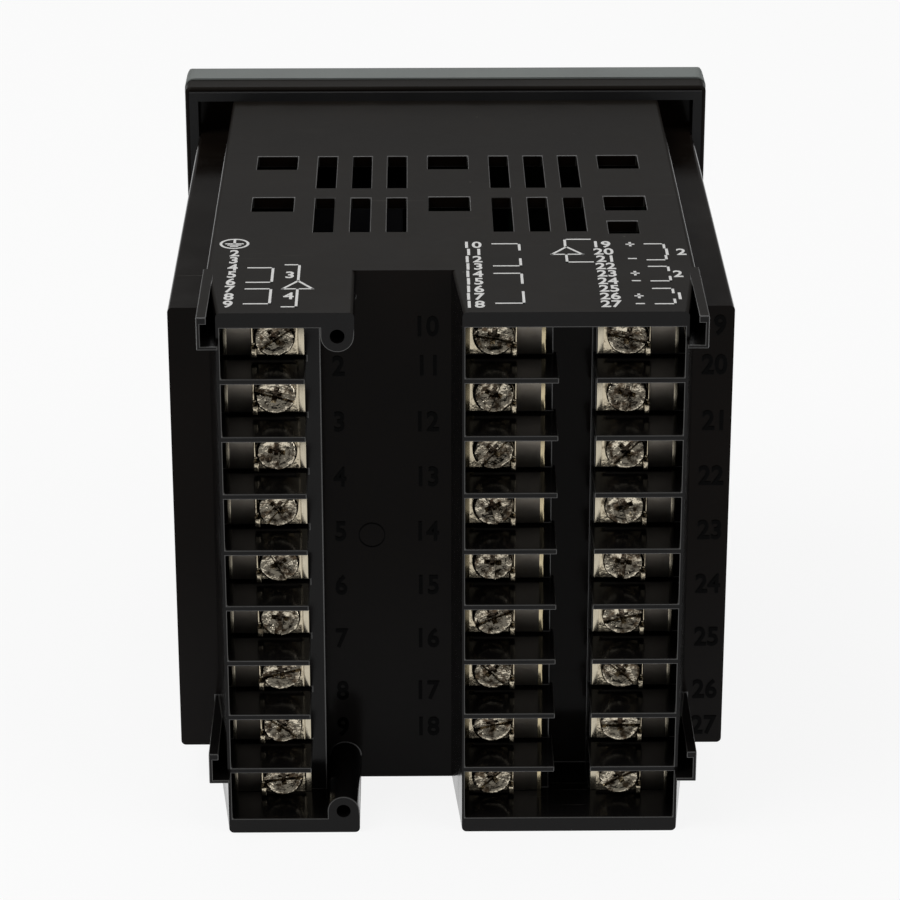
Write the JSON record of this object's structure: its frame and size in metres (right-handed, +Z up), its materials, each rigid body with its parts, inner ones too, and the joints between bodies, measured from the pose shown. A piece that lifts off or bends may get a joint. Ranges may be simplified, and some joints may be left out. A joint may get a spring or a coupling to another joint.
{
  "type": "panel temperature controller",
  "caption": "Panel-mount process temperature controller with a boxed case, front display and keys, and screw terminals at the rear.",
  "frame": {"origin": "centre of the panel cut-out, on the rear face of a 2 mm panel whose front bears on the flange's seal", "axes": "+Z up, +Y from the panel back to the terminals, display faces -Y"},
  "size_m": [0.096, 0.1291, 0.096],
  "materials": {
    "case_plastic": "moulded, faint sheen",
    "seal_rubber": "matte",
    "bezel_plastic": "fine texture",
    "window_plastic": "dark tinted, polished",
    "screw_steel": "nickel plated",
    "cap_plastic": "matte",
    "board_laminate": "solder mask",
    "display_plastic": "matte",
    "led_plastic": "tinted",
    "switch_plastic": "matte",
    "connector_plastic": "matte",
    "transformer_steel": "varnished",
    "relay_plastic": "moulded",
    "can_aluminium": "sleeved",
    "chip_plastic": "matte",
    "key_rubber": "matte",
    "terminal_nickel": "nickel plated",
    "clamp_steel": "nickel plated"
  },
  "bodies": {
    "controller": {"case": "case_plastic", "panel_gasket": "seal_rubber", "bezel_gasket": "seal_rubber", "bezel": "bezel_plastic", "display_window": "window_plastic", "chassis_screw": "screw_steel", "screw_cap": "cap_plastic", "display_board": "board_laminate", "upper_display": "display_plastic", "lower_display": "display_plastic", "indicator_leds": "led_plastic", "key_switches": "switch_plastic", "board_screws": "screw_steel", "power_board": "board_laminate", "output_board": "board_laminate", "input_board": "board_laminate", "board_headers": "connector_plastic", "edge_connectors": "connector_plastic", "transformer": "transformer_steel", "relays": "relay_plastic", "capacitors": "can_aluminium", "processor_chips": "chip_plastic", "terminal_plates_1_to_9": "terminal_nickel", "clamp_plates_1_to_9": "clamp_steel", "terminal_screws_1_to_9": "screw_steel", "terminal_plates_10_to_18": "terminal_nickel", "clamp_plates_10_to_18": "clamp_steel", "terminal_screws_10_to_18": "screw_steel", "terminal_plates_19_to_27": "terminal_nickel", "clamp_plates_19_to_27": "clamp_steel", "terminal_screws_19_to_27": "screw_steel"},
    "key_upper_1_body": {"key_upper_1": "key_rubber"},
    "key_upper_2_body": {"key_upper_2": "key_rubber"},
    "key_upper_3_body": {"key_upper_3": "key_rubber"},
    "key_upper_4_body": {"key_upper_4": "key_rubber"},
    "key_lower_1_body": {"key_lower_1": "key_rubber"},
    "key_lower_2_body": {"key_lower_2": "key_rubber"},
    "key_lower_3_body": {"key_lower_3": "key_rubber"},
    "key_lower_4_body": {"key_lower_4": "key_rubber"}
  },
  "joints": [
    {"name": "key_upper_1_press", "type": "slide", "parent": "controller", "child": "key_upper_1_body", "axis": [0, 1, 0], "range_m": [0, 0.0006], "stiffness_N_per_m": 1500, "springref_m": -0.0003},
    {"name": "key_upper_2_press", "type": "slide", "parent": "controller", "child": "key_upper_2_body", "axis": [0, 1, 0], "range_m": [0, 0.0006], "stiffness_N_per_m": 1500, "springref_m": -0.0003},
    {"name": "key_upper_3_press", "type": "slide", "parent": "controller", "child": "key_upper_3_body", "axis": [0, 1, 0], "range_m": [0, 0.0006], "stiffness_N_per_m": 1500, "springref_m": -0.0003},
    {"name": "key_upper_4_press", "type": "slide", "parent": "controller", "child": "key_upper_4_body", "axis": [0, 1, 0], "range_m": [0, 0.0006], "stiffness_N_per_m": 1500, "springref_m": -0.0003},
    {"name": "key_lower_1_press", "type": "slide", "parent": "controller", "child": "key_lower_1_body", "axis": [0, 1, 0], "range_m": [0, 0.0006], "stiffness_N_per_m": 1500, "springref_m": -0.0003},
    {"name": "key_lower_2_press", "type": "slide", "parent": "controller", "child": "key_lower_2_body", "axis": [0, 1, 0], "range_m": [0, 0.0006], "stiffness_N_per_m": 1500, "springref_m": -0.0003},
    {"name": "key_lower_3_press", "type": "slide", "parent": "controller", "child": "key_lower_3_body", "axis": [0, 1, 0], "range_m": [0, 0.0006], "stiffness_N_per_m": 1500, "springref_m": -0.0003},
    {"name": "key_lower_4_press", "type": "slide", "parent": "controller", "child": "key_lower_4_body", "axis": [0, 1, 0], "range_m": [0, 0.0006], "stiffness_N_per_m": 1500, "springref_m": -0.0003}
  ]
}
